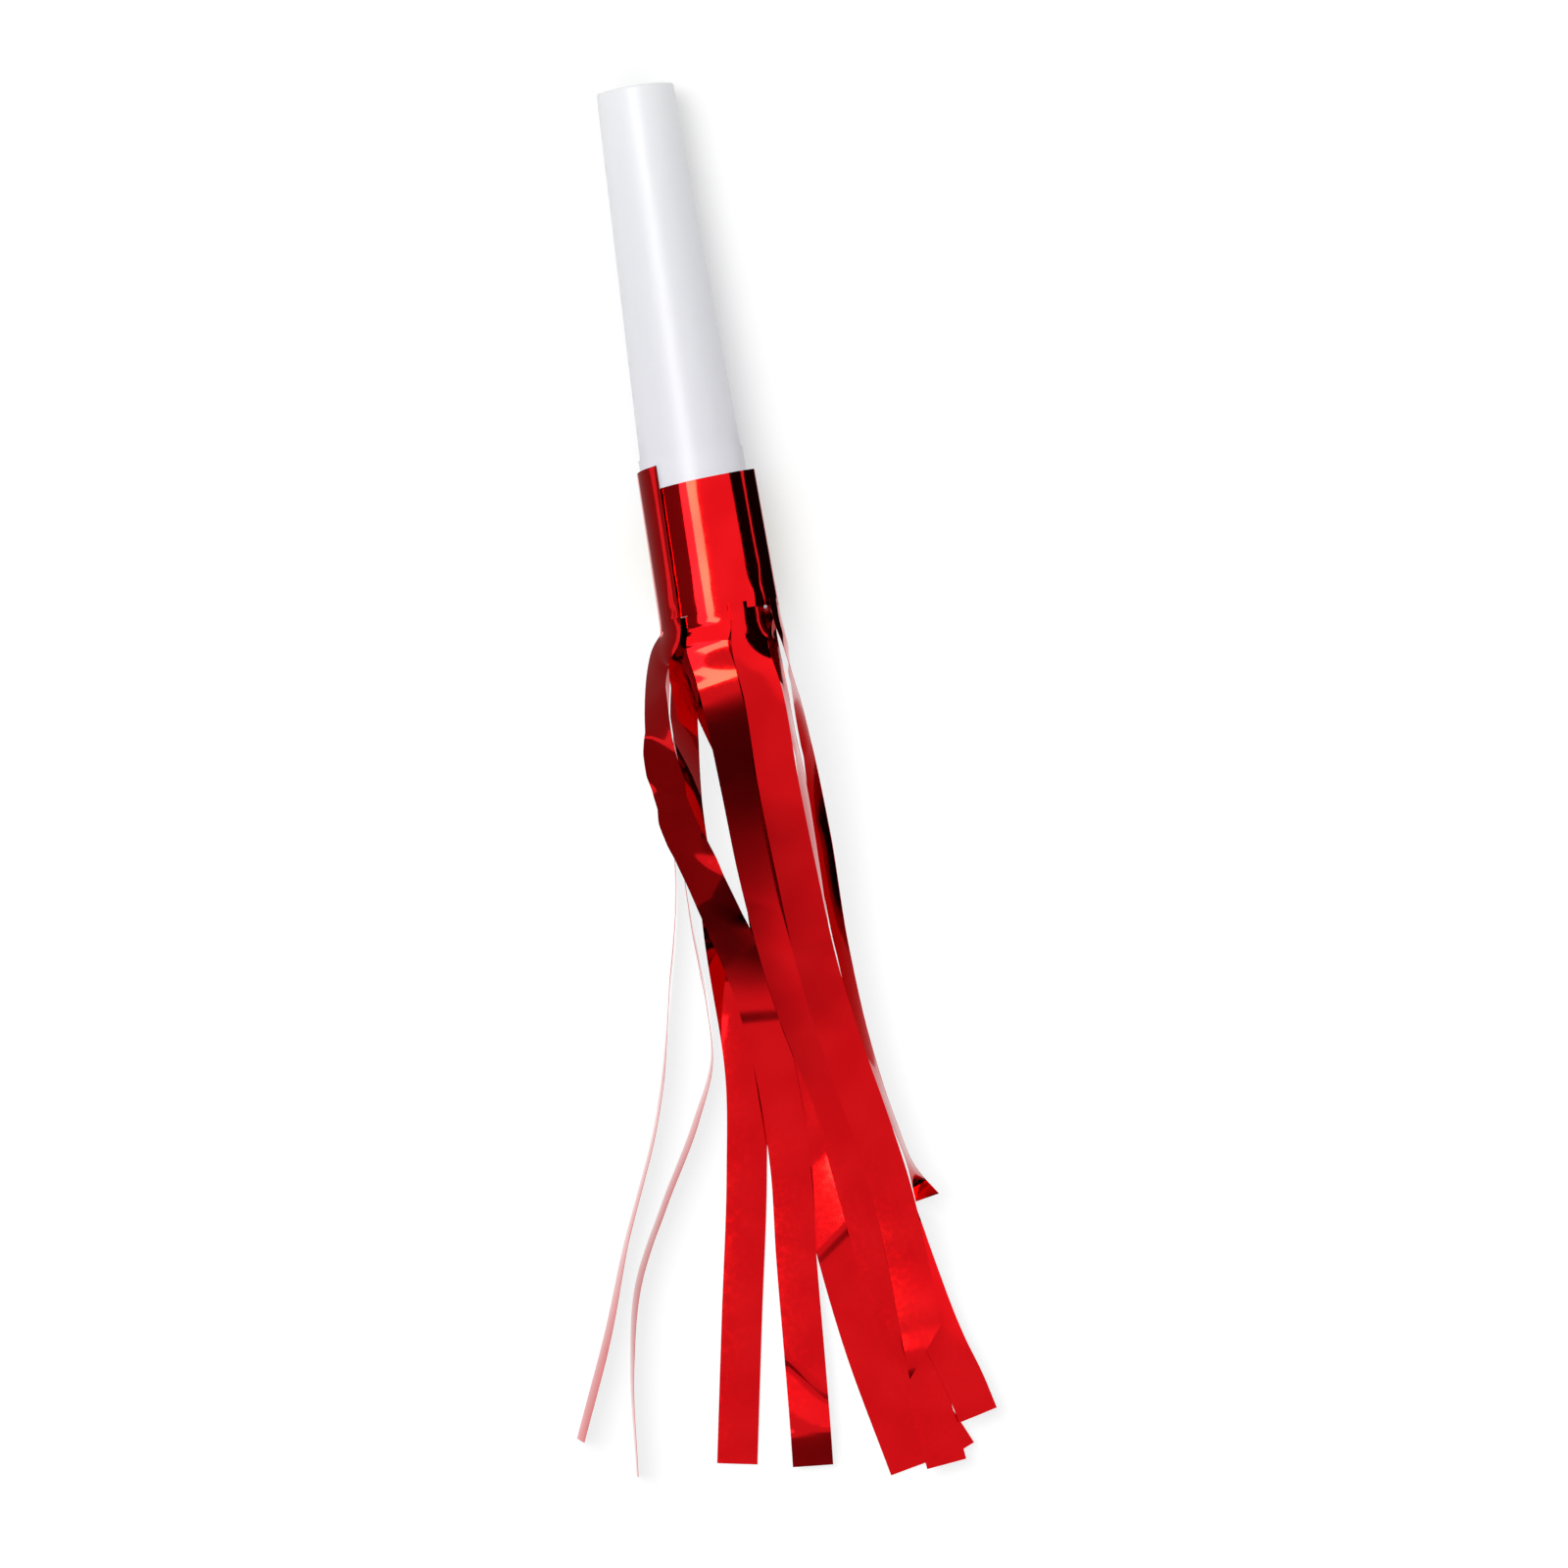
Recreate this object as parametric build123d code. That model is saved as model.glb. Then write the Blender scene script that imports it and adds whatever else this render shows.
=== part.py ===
"""Fringed party horn blower, lying on a flat surface. Millimetres, +Z up.

The horn's mouth end points along +Y, the fringe along -Y. The origin is the middle of the
whole object's box, on the surface that it lies on.
"""

import os
from math import atan2, cos, degrees, radians, sin, sqrt

from build123d import *

# The horn: a moulded tapered tube with a straight collar at its wide end
tube_length = 67.0
mouth_diameter = 9.8
taper_end_diameter = 12.8
collar_diameter = 13.2
collar_length = 20.5
mouth_bore_diameter = 7.8
mouth_bore_length = 6.0
collar_bore_diameter = 11.2
edge_round = 0.3

# The reed unit, pressed up the bore from the collar end
plug_to_mouth = 26.0
plug_length = 7.0
plug_clearance = 0.02
channel_radius = 2.3
trough_wall = 1.0
trough_length = 17.0
trough_end_wall = 1.2
slot_end_wall = 1.0
ramp_angle = 4.0
tongue_width = 5.4
tongue_thickness = 0.2
tongue_root = 1.5
tongue_clearance = 0.1
wedge_height = 1.0
wedge_width = 5.6
wedge_clearance = 0.02

# The foil: one sheet wound round the collar over double-sided tape, cut into strips
foil_thickness = 0.2
wrap_clearance = 0.02
tape_thickness = 0.1
tape_width = 12.0
tape_to_rim = 2.5
band_length = 19.3
wrap_skew = 2.9
strip_width = 4.9
strip_cut = 0.4
strip_count = 10
lap_angle = 128.0
root_gap = 0.2
layer_gap = 0.4
wrap_step_angle = 12.0

# How far the strips reach from the band, spread to a side and stand up
fringe_reach = 110.0
fringe_spread = 30.0
bundle_height = 15.0
flat_crown = 0.12
crown_easing_shares = (0.8, 0.6, 0.4, 0.2)
strip_sections = 22

overrun = 1.0

collar_radius = collar_diameter / 2
tape_radius = collar_radius + tape_thickness
wrap_pitch = foil_thickness + wrap_clearance
inner_wrap_radius = tape_radius + wrap_clearance + foil_thickness / 2
strip_pitch = strip_width + strip_cut
sheet_turn = degrees(strip_count * strip_pitch / (inner_wrap_radius + wrap_pitch / 2))
strip_turn = sheet_turn / strip_count


def sheet_radius(wound):
    """The foil's middle radius, a given angle along the winding from its outer lap end."""
    return inner_wrap_radius + wrap_pitch * (sheet_turn - wound) / 360


def band_edge(wound):
    """How far the band reaches from the rim, the same angle along."""
    return band_length - wrap_skew * wound / 360


# The horn lies on its mouth's lower edge and on the foil at the band's far edge
lying_angle = 270
lying_radius = sheet_radius(lying_angle - lap_angle) + foil_thickness / 2
lying_length = band_edge(lying_angle - lap_angle)
lie_angle = degrees(atan2(lying_radius - mouth_diameter / 2, tube_length - lying_length))
rim_height = lying_radius * cos(radians(lie_angle)) + lying_length * sin(radians(lie_angle))
lay_down = Location((0, 0, rim_height), (-lie_angle, 0, 0))

# Routes of the strips, from the outer lap end inwards. Each row is a place on the strip's
# middle line: its share of the reach along the fringe, of the spread to the side and of the
# bundle's height, and the strip's turn in degrees: 0 lies flat with its outer face up, and
# 90 stands on its left edge.
crossing_left_shares = [
    (0.04, -0.262, 0.675, 62), (0.10, -0.302, 0.690, 50), (0.18, -0.312, 0.665, 38),
    (0.25, -0.275, 0.625, 26), (0.32, -0.206, 0.580, 14), (0.38, -0.150, 0.530, 6),
    (0.46, -0.080, 0.440, 0), (0.54, -0.042, 0.340, 0), (0.62, -0.036, 0.230, 0),
    (0.72, -0.066, 0.140, 0), (0.84, -0.095, 0.065, 0), (0.98, -0.133, 0.050, 0),
]
left_outer_edge_shares = [
    (0.05, -0.245, 0.320, 104), (0.12, -0.275, 0.235, 96), (0.20, -0.312, 0.202, 92),
    (0.30, -0.338, 0.200, 90), (0.42, -0.430, 0.200, 90), (0.56, -0.565, 0.200, 90),
    (0.70, -0.775, 0.200, 90), (0.79, -0.895, 0.200, 86), (0.91, -1.083, 0.200, 80),
]
left_inner_edge_shares = [
    (0.04, -0.140, 0.135, 142), (0.10, -0.195, 0.175, 122), (0.16, -0.245, 0.195, 102),
    (0.24, -0.288, 0.200, 93), (0.34, -0.296, 0.200, 91), (0.44, -0.282, 0.200, 90),
    (0.50, -0.298, 0.200, 88), (0.57, -0.405, 0.200, 84), (0.66, -0.590, 0.200, 82),
    (0.75, -0.752, 0.200, 84), (0.84, -0.825, 0.200, 88), (0.96, -0.870, 0.200, 90),
]
floor_right_shares = [
    (0.05, 0.050, 0.048, -173), (0.13, 0.043, 0.026, -179), (0.25, 0.034, 0.024, -180),
    (0.40, 0.030, 0.024, -180), (0.55, 0.042, 0.024, -180), (0.70, 0.085, 0.024, -180),
    (0.85, 0.155, 0.024, -180), (1.0, 0.268, 0.024, -180),
]
right_long_shares = [
    (0.045, 0.218, 0.370, -112), (0.08, 0.234, 0.410, -102), (0.12, 0.243, 0.405, -95),
    (0.20, 0.256, 0.345, -90), (0.30, 0.259, 0.255, -90), (0.42, 0.268, 0.205, -90),
    (0.52, 0.302, 0.200, -90), (0.62, 0.378, 0.200, -90), (0.74, 0.450, 0.205, -90),
    (0.81, 0.488, 0.215, -78), (0.865, 0.533, 0.225, -42), (0.91, 0.563, 0.222, -14),
    (0.95, 0.584, 0.220, 0),
]
right_short_shares = [
    (0.05, 0.276, 0.615, -86), (0.14, 0.292, 0.550, -102), (0.26, 0.308, 0.430, -111),
    (0.40, 0.312, 0.340, -112), (0.50, 0.338, 0.295, -110), (0.60, 0.402, 0.265, -104),
    (0.66, 0.462, 0.250, -112), (0.695, 0.515, 0.235, -130),
]
broad_top_shares = [
    (0.04, 0.128, 0.955, -28), (0.10, 0.150, 0.945, -16), (0.20, 0.156, 0.87, -8),
    (0.30, 0.178, 0.74, -5), (0.42, 0.192, 0.585, -3), (0.52, 0.222, 0.47, -2), (0.64, 0.285, 0.40, 0),
    (0.76, 0.345, 0.41, 0), (0.84, 0.358, 0.435, 0), (0.88, 0.362, 0.44, 0), (0.895, 0.366, 0.41, 0),
]
front_loop_shares = [
    (0.03, -0.050, 1.035, 6), (0.075, -0.030, 1.05, 3), (0.11, -0.020, 0.96, -2),
    (0.20, 0.008, 0.72, -6), (0.30, 0.040, 0.53, -2), (0.45, 0.085, 0.37, 4), (0.60, 0.206, 0.235, 3),
    (0.75, 0.303, 0.19, 0), (0.90, 0.382, 0.19, 0), (1.0, 0.423, 0.195, 0),
]
floor_left_shares = [
    (0.05, -0.165, 0.800, 44), (0.11, -0.192, 0.660, 52), (0.20, -0.205, 0.455, 66),
    (0.30, -0.200, 0.275, 66), (0.42, -0.168, 0.085, 14), (0.52, -0.165, 0.040, 0),
    (0.64, -0.225, 0.026, 0), (0.80, -0.335, 0.024, 0), (0.965, -0.447, 0.024, 0),
]
under_right_shares = [
    (0.045, -0.180, 0.460, 84), (0.08, -0.127, 0.413, 62), (0.12, -0.063, 0.360, 36),
    (0.17, 0.007, 0.307, 16), (0.24, 0.073, 0.260, 4), (0.34, 0.123, 0.200, 0),
    (0.46, 0.160, 0.153, 0), (0.58, 0.208, 0.117, 0), (0.72, 0.285, 0.107, 0),
    (0.84, 0.362, 0.107, 0), (0.99, 0.492, 0.107, 0),
]
strip_routes = {
    "fringe_strip_01_crossing_left": crossing_left_shares,
    "fringe_strip_02_left_outer_edge": left_outer_edge_shares,
    "fringe_strip_03_left_inner_edge": left_inner_edge_shares,
    "fringe_strip_04_floor_right": floor_right_shares,
    "fringe_strip_05_right_long": right_long_shares,
    "fringe_strip_06_right_short": right_short_shares,
    "fringe_strip_07_broad_top": broad_top_shares,
    "fringe_strip_08_front_loop": front_loop_shares,
    "fringe_strip_09_floor_left": floor_left_shares,
    "fringe_strip_10_under_right": under_right_shares,
}


def bore_radius(from_mouth):
    """The bore's radius: straight at the mouth, then widening to the collar."""
    widening = tube_length - collar_length - mouth_bore_length
    share = min(max((from_mouth - mouth_bore_length) / widening, 0), 1)
    return (mouth_bore_diameter + (collar_bore_diameter - mouth_bore_diameter) * share) / 2


def turned(points):
    """A solid turned about the horn's axis from (radius, distance from the mouth) points."""
    outline = Polyline([(r, tube_length - m) for r, m in points], close=True)
    return revolve(make_face(outline), axis=Axis.Y)


def make_horn_tube():
    collar_start = tube_length - collar_length
    mouth_r, taper_r = mouth_diameter / 2, taper_end_diameter / 2
    tube = turned([
        (mouth_bore_diameter / 2, 0), (mouth_r, 0), (taper_r, collar_start),
        (collar_radius, collar_start), (collar_radius, tube_length),
        (collar_bore_diameter / 2, tube_length), (collar_bore_diameter / 2, collar_start),
        (mouth_bore_diameter / 2, mouth_bore_length),
    ])
    mouth_end = tube.faces().filter_by(Axis.Y).sort_by(Axis.Y)[-1]
    return fillet(mouth_end.edges(), edge_round)


def half_cylinder(radius, from_mouth, length):
    """The lower half of a cylinder on the horn's axis."""
    whole = turned([(0, from_mouth), (radius, from_mouth),
                    (radius, from_mouth + length), (0, from_mouth + length)])
    middle = tube_length - from_mouth - length / 2
    return whole & Pos(0, middle, -radius) * Box(2 * radius + overrun, length + overrun, 2 * radius)


trough_radius = channel_radius + trough_wall
slot_height = tongue_thickness + 2 * tongue_clearance
slot_depth = plug_length - slot_end_wall


def make_reed_plug():
    """The plug that seals the bore, and the trough that the tongue beats on."""
    first, last = plug_to_mouth, plug_to_mouth + plug_length
    plug = turned([(0, first), (bore_radius(first) - plug_clearance, first),
                   (bore_radius(last) - plug_clearance, last), (0, last)])
    trough = half_cylinder(trough_radius, first - trough_length, trough_length)
    hollow_length = trough_length - trough_end_wall + plug_length + overrun
    hollow = half_cylinder(channel_radius, first - trough_length + trough_end_wall, hollow_length)
    ramp = (Pos(0, tube_length - first, 0) * Rot(-ramp_angle, 0, 0)
            * Pos(0, trough_length, trough_radius)
            * Box(4 * trough_radius, 2 * trough_length, 2 * trough_radius))
    slot = Pos(0, tube_length - first - slot_depth / 2, (slot_height + wedge_height) / 2) * Box(
        wedge_width, slot_depth, slot_height + wedge_height)
    return (plug + (trough - ramp)) - hollow - slot


def make_reed_wedge():
    """The wedge that holds the tongue's root down in the plug's slot."""
    length, height = slot_depth - wedge_clearance, wedge_height - wedge_clearance
    middle = tube_length - plug_to_mouth - length / 2
    wedge = Box(wedge_width - 2 * wedge_clearance, length, height)
    return Pos(0, middle, slot_height + height / 2) * wedge


def make_reed_tongue():
    """The film tongue, with its root in the slot and its tip near the trough's end."""
    length = trough_length - trough_end_wall / 2 + tongue_root
    middle = tube_length - plug_to_mouth - tongue_root + length / 2
    tongue = Pos(0, middle, slot_height / 2) * Box(tongue_width, length, tongue_thickness)
    tip = tongue.edges().filter_by(Axis.Z).group_by(Axis.Y)[-1]
    return fillet(tip, tongue_width / 4)


def make_adhesive_tape():
    """The ring of double-sided tape between the collar and the foil."""
    near = tube_length - tape_to_rim
    return turned([(collar_radius, near - tape_width), (tape_radius, near - tape_width),
                   (tape_radius, near), (collar_radius, near)])


def wrap_section(wound):
    """The foil's cut face in the half plane through the axis, at an angle along the winding."""
    middle, length = sheet_radius(wound), band_edge(wound)
    angle = radians(lap_angle + wound)
    corners = [(middle - foil_thickness / 2, 0), (middle + foil_thickness / 2, 0),
               (middle + foil_thickness / 2, length), (middle - foil_thickness / 2, length)]
    return make_face(Polyline([(r * cos(angle), y, r * sin(angle)) for r, y in corners], close=True))


def make_foil_band():
    """The foil's uncut header, wound one and a fifth turns and a little askew."""
    steps = round(sheet_turn / wrap_step_angle)
    return loft([wrap_section(sheet_turn * i / steps) for i in range(steps + 1)])


def strip_root(index):
    """Where a strip leaves the band: its angle round the horn and the foil's radius there."""
    wound = strip_turn * (index + 1 / 2)
    return lap_angle + wound, sheet_radius(wound) - layer_gap * (wound // 360)


def strip_places(index, shares):
    """The strip's middle line: (x, y, z, turn, crown) from the band's rim to its end."""
    angle, radius = strip_root(index)
    x, z = radius * cos(radians(angle)), radius * sin(radians(angle))
    crown = radius - sqrt(radius ** 2 - (strip_width / 2) ** 2)
    start = lay_down * Pos(x, -root_gap, z)
    beyond = lay_down * Pos(x, -root_gap - strip_width / 4, z)
    turn = angle - 90
    while turn - shares[0][3] > 180:
        turn -= 360
    while turn - shares[0][3] < -180:
        turn += 360
    first_share, *later_shares = crown_easing_shares
    places = [(*start.position, turn, crown), (*beyond.position, turn, crown * first_share)]
    for row, (along, side, height, twist) in enumerate(shares):
        eased = crown * later_shares[row] if row < len(later_shares) else flat_crown
        places.append((side * fringe_spread, -along * fringe_reach,
                       height * bundle_height, twist, max(flat_crown, eased)))
    return places


def strip_section(place, heading, width_way, crown):
    """The strip's cut face: a thin strip with a slight crown, square to its heading.

    The more crown, the shorter the chord, so that the strip keeps its width along the arc.
    """
    plane = Plane(origin=place, x_dir=width_way, z_dir=heading)
    half, t = sqrt(strip_width ** 2 - 16 / 3 * crown ** 2) / 2, foil_thickness / 2
    low = ThreePointArc((-half, -t - crown), (0, -t), (half, -t - crown))
    high = ThreePointArc((half, t - crown), (0, t), (-half, t - crown))
    sides = [Line(low @ 1, high @ 0), Line(high @ 1, low @ 0)]
    return plane * make_face(Wire([low, sides[0], high, sides[1]]))


def distances(places):
    """How far along the route each place is, measured straight from place to place."""
    reached = [0]
    for (x, y, z, *_), (to_x, to_y, to_z, *_) in zip(places, places[1:]):
        reached.append(reached[-1] + sqrt((to_x - x) ** 2 + (to_y - y) ** 2 + (to_z - z) ** 2))
    return reached


def smooth_place(places, at):
    """The place at a distance along the route, on a smooth curve through all the places."""
    reached = distances(places)
    last = len(places) - 1

    def slope(i, k):
        before, after = max(i - 1, 0), min(i + 1, last)
        if i in (0, last):
            return (places[after][k] - places[before][k]) / (reached[after] - reached[before])
        gap_in, gap_out = reached[i] - reached[before], reached[after] - reached[i]
        rate_in = (places[i][k] - places[before][k]) / gap_in
        rate_out = (places[after][k] - places[i][k]) / gap_out
        return (rate_in * gap_out + rate_out * gap_in) / (gap_in + gap_out)

    row = max(i for i in range(last) if reached[i] <= max(at, 0))
    gap = reached[row + 1] - reached[row]
    t = (at - reached[row]) / gap
    return [
        places[row][k] * (2 * t ** 3 - 3 * t ** 2 + 1) + slope(row, k) * gap * (t ** 3 - 2 * t ** 2 + t)
        + places[row + 1][k] * (3 * t ** 2 - 2 * t ** 3) + slope(row + 1, k) * gap * (t ** 3 - t ** 2)
        for k in range(5)
    ]


def make_strip(index, shares):
    """A long foil strip, lofted along a smooth curve through its places."""
    places = strip_places(index, shares)
    length = distances(places)[-1]
    step = length / strip_sections
    nearby = step / 20
    sections = []
    for count in range(strip_sections + 1):
        x, y, z, turn, crown = smooth_place(places, count * step)
        before = Vector(*smooth_place(places, count * step - nearby)[:3])
        after = Vector(*smooth_place(places, count * step + nearby)[:3])
        heading = (after - before).normalized()
        level = Vector(cos(radians(turn)), 0, sin(radians(turn)))
        width_way = level - heading * level.dot(heading)
        sections.append(strip_section(Vector(x, y, z), heading, width_way, crown))
    return loft(sections, ruled=True)


def lay_out():
    """Every piece by its name, lying as the object lies, before the origin is moved."""
    horn = {
        "horn_tube": make_horn_tube(),
        "reed_plug": make_reed_plug(),
        "reed_wedge": make_reed_wedge(),
        "reed_tongue": make_reed_tongue(),
        "adhesive_tape": make_adhesive_tape(),
        "foil_band": make_foil_band(),
    }
    pieces = {name: lay_down * piece for name, piece in horn.items()}
    for index, (name, shares) in enumerate(strip_routes.items()):
        pieces[name] = make_strip(index, shares)
    return pieces


pieces = lay_out()
box = Compound(children=[Part() + piece for piece in pieces.values()]).bounding_box()
to_origin = Pos(-box.center().X, -box.center().Y, 0)

os.makedirs("parts", exist_ok=True)
for name, piece in pieces.items():
    solid = to_origin * piece
    export_step(solid, f"parts/{name}.step")
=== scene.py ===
"""A fringed party horn blower, dressed over its CAD frame. Metres, +Z up.

The horn's mouth points along +Y. Tables are in millimetres or in shares of the fringe's size.
"""

import math

import bpy
import numpy as np
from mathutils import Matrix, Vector


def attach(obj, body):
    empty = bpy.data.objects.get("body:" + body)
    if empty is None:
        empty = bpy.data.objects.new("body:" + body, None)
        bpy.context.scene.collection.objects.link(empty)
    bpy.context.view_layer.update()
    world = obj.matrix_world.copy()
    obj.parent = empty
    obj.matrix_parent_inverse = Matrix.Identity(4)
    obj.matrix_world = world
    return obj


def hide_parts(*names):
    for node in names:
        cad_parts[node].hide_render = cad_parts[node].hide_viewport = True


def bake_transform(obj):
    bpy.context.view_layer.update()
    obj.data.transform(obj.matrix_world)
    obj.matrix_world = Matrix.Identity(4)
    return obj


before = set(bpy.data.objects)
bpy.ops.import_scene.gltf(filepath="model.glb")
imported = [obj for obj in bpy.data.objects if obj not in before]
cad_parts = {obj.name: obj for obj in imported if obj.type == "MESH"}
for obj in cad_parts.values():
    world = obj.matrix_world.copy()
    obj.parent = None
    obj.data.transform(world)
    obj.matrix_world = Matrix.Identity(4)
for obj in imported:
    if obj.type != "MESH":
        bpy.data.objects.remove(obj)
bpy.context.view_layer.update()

MM = 0.001

# The horn as it lies: the rim's centre and the tilt
RIM_CENTRE = (6.445, 21.676, 7.911)
LIE_ANGLE = 2.58

# The foil's winding: the angle of its outer lap end, how far the band reaches up the tube there
# and how much less one turn further in, how far it is wound, and its radius at the lap end and
# how much less one turn further in
LAP_ANGLE = 128.0
BAND_LENGTH = 19.3
WRAP_SKEW = 2.9
SHEET_TURN = 438.2
OUTER_RADIUS = 7.088
WRAP_PITCH = 0.22

# The film, and the angle from which its cut edges stay sharp
FILM_THICKNESS = 0.05
CUT_EDGE_ANGLE = 40

# The winding's loose side: its middle, how fast it closes to either side, and how far it stands
# off at the band's edge on the tube and at the rim
LOOSE_SIDE_ANGLE = 5.0
LOOSE_SPREAD_SHARE = 1.3
LOOSE_ON_TUBE = 0.7
LOOSE_AT_RIM = 1.2

# The free lap end lifts a little, over so many degrees
LAP_LIFT = 0.12
LAP_LIFT_TURN = 7.0

# Crinkles of the header near the rim: how many, the least and most of how far they reach up, lean
# and stand out, and how wide one is in degrees
CRINKLE_COUNT = 26
CRINKLE_SEED = 7
CRINKLE_REACHES = (0.5, 6)
CRINKLE_LEANS = (-4, 4)
CRINKLE_HEIGHTS = (0.02, 0.06)
CRINKLE_TURN = 4.5

# How finely the header is meshed
HEADER_STEPS_ROUND = 360
HEADER_STEPS_ALONG = 60

# The fringe: how far it reaches, spreads and stands
FRINGE_REACH = 110.0
FRINGE_SPREAD = 30.0
BUNDLE_HEIGHT = 15.0

# The strips: each one's share of the winding, and its width
STRIP_COUNT = 10
STRIP_TURN = SHEET_TURN / STRIP_COUNT
STRIP_WIDTH = 5.1

# A strip's first places, up from the rim, how much deeper than the header it is tucked, and how
# much deeper still in the second layer
ROOT_PLACES = (0.8, -0.2, -1.425)
ROOT_UNDER_HEADER = 0.03
LAYER_GAP = 0.4

# A strip leaves the header as curved as the winding. The curve eases off in these shares, at the
# last root place and the route's first places, to the least crown
ROOT_CROWN_EASING = 0.8
CROWN_EASING = (0.4, 0.15, 0.05)
LEAST_CROWN = 0.08

# At the root a strip is wider by this share, which closes the cuts beside it, over so many mm
CUT_CLOSING = 0.065
ROOT_SPREAD_REACH = 5.0

# Where along a strip the creases start, and over how many mm they grow to their full height
CREASES_START = 1.2
CREASES_GROW_OVER = 3

# How finely a strip is meshed
STRIP_STEP = 0.45
STRIP_POINTS_ACROSS = 13

# How far a cloudy noise shifts the tube's tint gradient along it, in metres, and how much the
# ground is whitened where it is seen
MILK_DRIFT = 0.018
GROUND_WHITENING = 0.1


def colour(code):
    """An sRGB hex colour as linear RGBA."""
    parts = [int(code[i:i + 2], 16) / 255 for i in (1, 3, 5)]
    return [p / 12.92 if p <= 0.04045 else ((p + 0.055) / 1.055) ** 2.4 for p in parts] + [1.0]


def add_node(tree, kind, inputs=None, **settings):
    """Adds a node with its settings, and its inputs as values or as links."""
    made = tree.nodes.new(kind)
    for key, value in settings.items():
        setattr(made, key, value)
    for key, value in (inputs or {}).items():
        if isinstance(value, bpy.types.NodeSocket):
            tree.links.new(value, made.inputs[key])
        else:
            made.inputs[key].default_value = value
    return made


def new_material(name):
    """An empty node material and its output."""
    material = bpy.data.materials.new(name)
    material.use_nodes = True
    material.node_tree.nodes.clear()
    output = material.node_tree.nodes.new("ShaderNodeOutputMaterial")
    return material, material.node_tree, output


def per_metre(spacing_mm):
    """A noise scale that gives one feature every so many millimetres."""
    return 1 / (spacing_mm * MM)


def red_metallised_polyester():
    """Polyester film with an aluminium coat under red lacquer: a mirror that tints what it shows,
    plain red under the sky and orange where it catches a lamp."""
    material, tree, output = new_material("red_metallised_polyester")
    place = add_node(tree, "ShaderNodeTexCoord").outputs["Object"]
    ripple = add_node(tree, "ShaderNodeTexNoise", {
        "Vector": place, "Scale": per_metre(6.0), "Detail": 1.0, "Roughness": 0.4})
    crackle = add_node(tree, "ShaderNodeTexNoise", {
        "Vector": place, "Scale": per_metre(0.7), "Detail": 3.0, "Roughness": 0.6})
    tint = add_node(tree, "ShaderNodeValToRGB", {"Fac": ripple.outputs["Fac"]})
    tint.color_ramp.elements[0].position = 0.35
    tint.color_ramp.elements[0].color = colour("#CA0F15")
    tint.color_ramp.elements[1].position = 0.68
    tint.color_ramp.elements[1].color = colour("#D21318")
    haze = add_node(tree, "ShaderNodeMapRange", {
        "Value": crackle.outputs["Fac"], "From Min": 0.3, "From Max": 0.7,
        "To Min": 0.05, "To Max": 0.11})
    soft = add_node(tree, "ShaderNodeBump", {
        "Height": ripple.outputs["Fac"], "Strength": 0.25, "Distance": 0.15 * MM})
    fine = add_node(tree, "ShaderNodeBump", {
        "Height": crackle.outputs["Fac"], "Strength": 0.05, "Distance": 0.02 * MM,
        "Normal": soft.outputs["Normal"]})
    film = add_node(tree, "ShaderNodeBsdfPrincipled", {
        "Base Color": tint.outputs["Color"], "Metallic": 1.0,
        "Roughness": haze.outputs["Result"], "Normal": fine.outputs["Normal"]})
    tree.links.new(film.outputs["BSDF"], output.inputs["Surface"])
    return material


def milky_polyethylene():
    """Injection-moulded natural polyethylene: waxy, milky, lit from within, with a soft sheen."""
    material, tree, output = new_material("milky_moulded_polyethylene")
    place = add_node(tree, "ShaderNodeTexCoord").outputs["Object"]
    along = add_node(tree, "ShaderNodeSeparateXYZ", {"Vector": place}).outputs["Y"]
    cloud = add_node(tree, "ShaderNodeTexNoise", {
        "Vector": place, "Scale": per_metre(9.0), "Detail": 3.0, "Roughness": 0.5})
    grain = add_node(tree, "ShaderNodeTexNoise", {
        "Vector": place, "Scale": per_metre(0.35), "Detail": 2.0, "Roughness": 0.5})
    shift = add_node(tree, "ShaderNodeMath", {0: cloud.outputs["Fac"], 1: MILK_DRIFT},
                     operation="MULTIPLY")
    where = add_node(tree, "ShaderNodeMath", {0: along, 1: shift.outputs["Value"]})
    # The tube is tinted slightly darker and more lavender towards the foil band, and paler towards
    # the mouth
    tint = add_node(tree, "ShaderNodeMapRange", {
        "Value": where.outputs["Value"], "From Min": 0.045, "From Max": 0.1})
    milk = add_node(tree, "ShaderNodeMix", {
        "Factor": tint.outputs["Result"], "A": colour("#EBEAF2"), "B": colour("#F0F1F4")},
        data_type="RGBA")
    bump = add_node(tree, "ShaderNodeBump", {
        "Height": grain.outputs["Fac"], "Strength": 0.12, "Distance": 0.02 * MM})
    shell = add_node(tree, "ShaderNodeBsdfPrincipled", {
        "Base Color": milk.outputs["Result"], "Roughness": 0.42, "IOR": 1.51,
        "Specular IOR Level": 0.3,
        "Subsurface Weight": 0.45, "Subsurface Radius": (1.0, 0.95, 0.9),
        "Subsurface Scale": 2.5 * MM, "Normal": bump.outputs["Normal"]})
    tree.links.new(shell.outputs["BSDF"], output.inputs["Surface"])
    return material


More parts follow.
